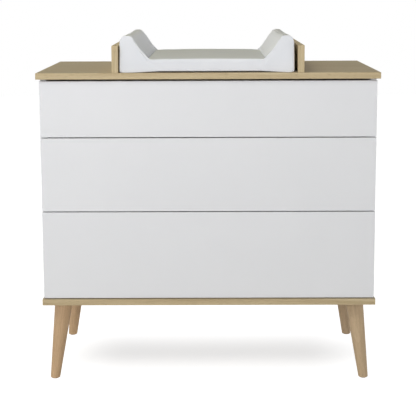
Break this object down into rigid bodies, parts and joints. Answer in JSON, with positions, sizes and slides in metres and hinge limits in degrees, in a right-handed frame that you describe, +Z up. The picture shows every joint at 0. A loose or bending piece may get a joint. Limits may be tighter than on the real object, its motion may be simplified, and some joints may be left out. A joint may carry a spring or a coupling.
{
  "type": "changing table",
  "caption": "White handleless chest with oak boards and splayed legs, sliding drawers, and a lift-off changing pad with raised sides held between low boards on its top.",
  "frame": {"origin": "on the floor under the middle of the top board", "axes": "+Z up, +X to the right as seen from the front, the drawers open towards -Y"},
  "size_m": [0.98, 0.55, 1.0203],
  "materials": {
    "oak": "matt oak veneer",
    "oak_leg": "turned oak, matt lacquer",
    "white_front": "satin white lacquer",
    "white_board": "white melamine board",
    "beech": "fluted beech",
    "zinc_steel": "zinc plated",
    "grey_plastic": "moulded",
    "dark_plastic": "moulded",
    "felt": "pressed felt",
    "pad_cover": "coated wipe-clean cloth",
    "foam": "soft foam"
  },
  "bodies": {
    "chest": {"top_panel": "oak", "bottom_panel": "oak", "left_side_panel": "white_board", "right_side_panel": "white_board", "back_panel": "white_board", "carcass_cam_fittings": "zinc_steel", "wooden_dowels": "beech", "back_panel_screws": "zinc_steel", "cabinet_screws": "zinc_steel", "front_left_leg": "oak_leg", "front_right_leg": "oak_leg", "rear_left_leg": "oak_leg", "rear_right_leg": "oak_leg", "leg_studs": "zinc_steel", "leg_inserts": "zinc_steel", "foot_glides": "felt", "latch_housings": "grey_plastic", "wall_anchors": "zinc_steel", "wall_anchor_screws": "zinc_steel", "tray_left_board": "oak", "tray_right_board": "oak", "tray_back_rail": "oak", "tray_screws": "zinc_steel", "top_runner_outer_channels": "zinc_steel", "middle_runner_outer_channels": "zinc_steel", "bottom_runner_outer_channels": "zinc_steel"},
    "pad": {"pad_cover": "pad_cover", "pad_flat_foam": "foam", "pad_left_wedge": "foam", "pad_right_wedge": "foam"},
    "top_drawer": {"top_drawer_front": "white_front", "top_drawer_left_side": "white_board", "top_drawer_right_side": "white_board", "top_drawer_back": "white_board", "top_drawer_floor": "white_board", "top_drawer_dowels": "beech", "top_drawer_fasteners": "zinc_steel", "top_runner_inner_channels": "zinc_steel"},
    "top_runner": {"top_runner_floating_channels": "zinc_steel"},
    "top_latch": {"top_latch_plungers": "dark_plastic"},
    "middle_drawer": {"middle_drawer_front": "white_front", "middle_drawer_left_side": "white_board", "middle_drawer_right_side": "white_board", "middle_drawer_back": "white_board", "middle_drawer_floor": "white_board", "middle_drawer_dowels": "beech", "middle_drawer_fasteners": "zinc_steel", "middle_runner_inner_channels": "zinc_steel"},
    "middle_runner": {"middle_runner_floating_channels": "zinc_steel"},
    "middle_latch": {"middle_latch_plungers": "dark_plastic"},
    "bottom_drawer": {"bottom_drawer_front": "white_front", "bottom_drawer_left_side": "white_board", "bottom_drawer_right_side": "white_board", "bottom_drawer_back": "white_board", "bottom_drawer_floor": "white_board", "bottom_drawer_dowels": "beech", "bottom_drawer_fasteners": "zinc_steel", "bottom_runner_inner_channels": "zinc_steel"},
    "bottom_runner": {"bottom_runner_floating_channels": "zinc_steel"},
    "bottom_latch": {"bottom_latch_plungers": "dark_plastic"}
  },
  "joints": [
    {"name": "top_drawer_slide", "type": "slide", "parent": "chest", "child": "top_drawer", "axis": [0, -1, 0], "range_m": [-0.002, 0.4]},
    {"name": "top_runner_slide", "type": "slide", "parent": "chest", "child": "top_runner", "axis": [0, -1, 0], "range_m": [-0.001, 0.2]},
    {"name": "top_latch_slide", "type": "slide", "parent": "chest", "child": "top_latch", "axis": [0, -1, 0], "range_m": [-0.0001, 0.02]},
    {"name": "middle_drawer_slide", "type": "slide", "parent": "chest", "child": "middle_drawer", "axis": [0, -1, 0], "range_m": [-0.002, 0.4]},
    {"name": "middle_runner_slide", "type": "slide", "parent": "chest", "child": "middle_runner", "axis": [0, -1, 0], "range_m": [-0.001, 0.2]},
    {"name": "middle_latch_slide", "type": "slide", "parent": "chest", "child": "middle_latch", "axis": [0, -1, 0], "range_m": [-0.0001, 0.02]},
    {"name": "bottom_drawer_slide", "type": "slide", "parent": "chest", "child": "bottom_drawer", "axis": [0, -1, 0], "range_m": [-0.002, 0.4]},
    {"name": "bottom_runner_slide", "type": "slide", "parent": "chest", "child": "bottom_runner", "axis": [0, -1, 0], "range_m": [-0.001, 0.2]},
    {"name": "bottom_latch_slide", "type": "slide", "parent": "chest", "child": "bottom_latch", "axis": [0, -1, 0], "range_m": [-0.0001, 0.02]},
    {"name": "pad_lift", "type": "slide", "parent": "chest", "child": "pad", "axis": [0, 0, 1], "range_m": [0, 0.08]}
  ],
  "couplings": [
    {"joint": "top_runner_slide", "follows": "top_drawer_slide", "ratio": 0.5},
    {"joint": "top_latch_slide", "follows": "top_drawer_slide", "ratio": 0.05},
    {"joint": "middle_runner_slide", "follows": "middle_drawer_slide", "ratio": 0.5},
    {"joint": "middle_latch_slide", "follows": "middle_drawer_slide", "ratio": 0.05},
    {"joint": "bottom_runner_slide", "follows": "bottom_drawer_slide", "ratio": 0.5},
    {"joint": "bottom_latch_slide", "follows": "bottom_drawer_slide", "ratio": 0.05}
  ]
}
